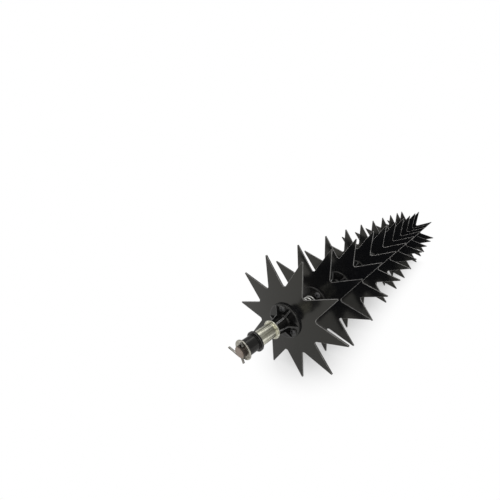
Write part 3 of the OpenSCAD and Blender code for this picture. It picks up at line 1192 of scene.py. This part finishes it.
pinTree, given, result = newGroup(
    "foldedPin",
    "GeometryNodeTree",
    {"Geometry": "geometry", "Section": "object", "Finish": "finish"},
    {"Geometry": "geometry"},
)
path = addNode(pinTree, "GeometryNodeMeshToCurve", {0: given["Geometry"]}).outputs[0]
path = addNode(pinTree, "GeometryNodeSetCurveNormal", {0: path}, mode="Z_UP").outputs[0]
section = addNode(pinTree, "GeometryNodeObjectInfo", {"Object": given["Section"]}).outputs["Geometry"]
section = addNode(pinTree, "GeometryNodeMeshToCurve", {0: section}).outputs[0]
sweep = {"Curve": path, "Profile Curve": section, "Fill Caps": True}
wire = addNode(pinTree, "GeometryNodeCurveToMesh", sweep).outputs[0]
closeTree(pinTree, [wire], given["Finish"], result)

# The flat of the half-round lies on the path and its back bulges away from the other leg
thick = (cotter["dia"] - cotter["split"]) / 2
halfRound = [
    (-thick * math.cos(math.radians(a)), cotter["dia"] / 2 * math.sin(math.radians(a)))
    for a in range(90, -91, -cotter["roundStep"])
]
halfRoundPiece = addObject("pinSection", lineMesh("pinSection", halfRound, True))
pinValues = {"Section": halfRoundPiece, "Finish": pinSteel}
wireMesh = grow("cotterWire", lineMesh("cotterPath", pinPath()), pinTree, pinValues)
bpy.data.objects.remove(halfRoundPiece)
bm = bmesh.new()
bm.from_mesh(wireMesh)
for v in bm.verts:
    v.co = (v.co.z, v.co.y, v.co.x)
cotterMesh = toMesh(bm, "cotterPin", cotter["sharp"], cotter["narrow"])
cotterMesh.materials.append(pinSteel)
lean = Matrix.Rotation(math.radians(-cotter["turn"]), 4, "X")
for side, flip in endSides:
    place = endPlace(flip, cotterAt) @ lean
    settle(side + "CotterPin", cotterMesh, place, "axle", side + "_cotter_pin")
print("cotter pins folded")

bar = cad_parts["axle_shaft"]
bar.data.materials.clear()
bar.data.materials.append(axleBar)

# Floor, light and camera
studio = {
    "floorTone": (0.86, 0.86, 0.86, 1),
    "floorSize": 12,
    "floorRough": 0.9,
    "tintScale": 3.0,
    "tintClouds": (0.3, 0.7),
    "tintRange": (0.96, 1.0),
    "nearGlow": 0.27,
    "paintedShadowReach": (0.0, 0.135),
    "shadeShort": 0.068,
    "mirrorGlow": 0.35,
    "mirrorPaintedShadeReach": (0.05, 0.6),
    "fill": 0.4,
    "skyMirror": 0.2,
    "lamps": {
        "topBox": {"place": (-0.4, 0.3, 1.7), "aim": (-0.1, 0, 0.1), "size": (1.8, 1.4), "watts": 13},
        "frontBox": {"place": (-1.4, -0.9, 1.0), "aim": (-0.3, 0, 0.1), "size": (0.9, 0.9), "watts": 5},
    },
}


# How much of the white room the eye and the mirrors see
def shownMask(tree, toEye, toMirror):
    rays = addNode(tree, "ShaderNodeLightPath").outputs
    seen = calc(tree, "MULTIPLY", rays["Is Camera Ray"], toEye)
    mirrored = calc(tree, "MAXIMUM", rays["Is Glossy Ray"], rays["Is Transmission Ray"])
    return calc(tree, "MULTIPLY_ADD", mirrored, toMirror, seen)


# The floor fades from a painted contact shadow under the roller, through which the real lamp shading
# shows, into pure white; mirrors see the same painted shade near the roller
def makeFloor():
    bm = bmesh.new()
    bmesh.ops.create_grid(bm, x_segments=1, y_segments=1, size=studio["floorSize"])
    mesh = bpy.data.meshes.new("floor")
    bm.to_mesh(mesh)
    bm.free()
    floor = addObject("floor", mesh)
    mat, tree, surface = newMaterial("paleFloor")
    point = objectPoint(tree)
    clouds = noise(tree, point, studio["tintScale"])
    tint = remap(tree, clouds, *studio["tintClouds"], *studio["tintRange"])
    tones = {0: 1.0, 6: studio["floorTone"], 7: tint}
    tone = addNode(tree, "ShaderNodeMix", tones, data_type="RGBA", blend_type="MULTIPLY").outputs[2]
    feed(tree, surface["Base Color"], tone)
    surface["Roughness"].default_value = studio["floorRough"]
    spot = addNode(tree, "ShaderNodeSeparateXYZ", {0: point}).outputs
    out = calc(tree, "ABSOLUTE", spot["X"])
    shadeEnd = endX / perMetre - studio["shadeShort"]
    past = calc(tree, "MAXIMUM", calc(tree, "SUBTRACT", out, shadeEnd), 0.0)
    square = calc(tree, "MULTIPLY_ADD", past, past, calc(tree, "MULTIPLY", spot["Y"], spot["Y"]))
    away = calc(tree, "SQRT", square)
    glow, mirrorGlow = [
        remap(tree, away, *studio[reach], studio[least], 1.0, "SMOOTHSTEP")
        for reach, least in (("paintedShadowReach", "nearGlow"), ("mirrorPaintedShadeReach", "mirrorGlow"))
    ]
    white = addNode(tree, "ShaderNodeEmission", {"Color": (1, 1, 1, 1), "Strength": 1.0}).outputs[0]
    shaded = tree.nodes["Principled BSDF"].outputs[0]
    share = shownMask(tree, glow, mirrorGlow)
    mixed = addNode(tree, "ShaderNodeMixShader", {0: share, 1: shaded, 2: white}).outputs[0]
    feed(tree, tree.nodes["Material Output"].inputs["Surface"], mixed)
    floor.data.materials.append(mat)


def makeWorld():
    world = bpy.data.worlds.new("studio")
    scene.world = world
    world.use_nodes = True
    tree = world.node_tree
    back = tree.nodes["Background"].inputs
    back["Color"].default_value = (1, 1, 1, 1)
    shown = shownMask(tree, 1.0, studio["skyMirror"])
    feed(tree, back["Strength"], remap(tree, shown, 0, 1, studio["fill"], 1.0))


def softBox(name, box):
    data = bpy.data.lights.new(name, "AREA")
    data.shape = "RECTANGLE"
    data.size, data.size_y = box["size"]
    data.energy = box["watts"]
    lamp = addObject(name, data)
    lamp.location = box["place"]
    toAim = Vector(box["aim"]) - Vector(box["place"])
    lamp.rotation_euler = toAim.to_track_quat("-Z", "Y").to_euler()


makeFloor()
makeWorld()
for name, box in studio["lamps"].items():
    softBox(name, box)

view = {
    "place": (-0.76226, -0.21696, 0.3371),
    "tilt": (65.3705, 1.7289, -51.4157),
    "lens": 14.8683,
    "sensor": 36,
    "clip": (0.01, 50),
    "shift": (-0.076, 0.08),
}
lens = bpy.data.cameras.new("camera")
lens.sensor_width = view["sensor"]
lens.lens = view["lens"]
lens.shift_x, lens.shift_y = view["shift"]
lens.clip_start, lens.clip_end = view["clip"]
camera = addObject("camera", lens)
camera.location = view["place"]
camera.rotation_euler = [math.radians(a) for a in view["tilt"]]
scene.camera = camera
print("studio set")
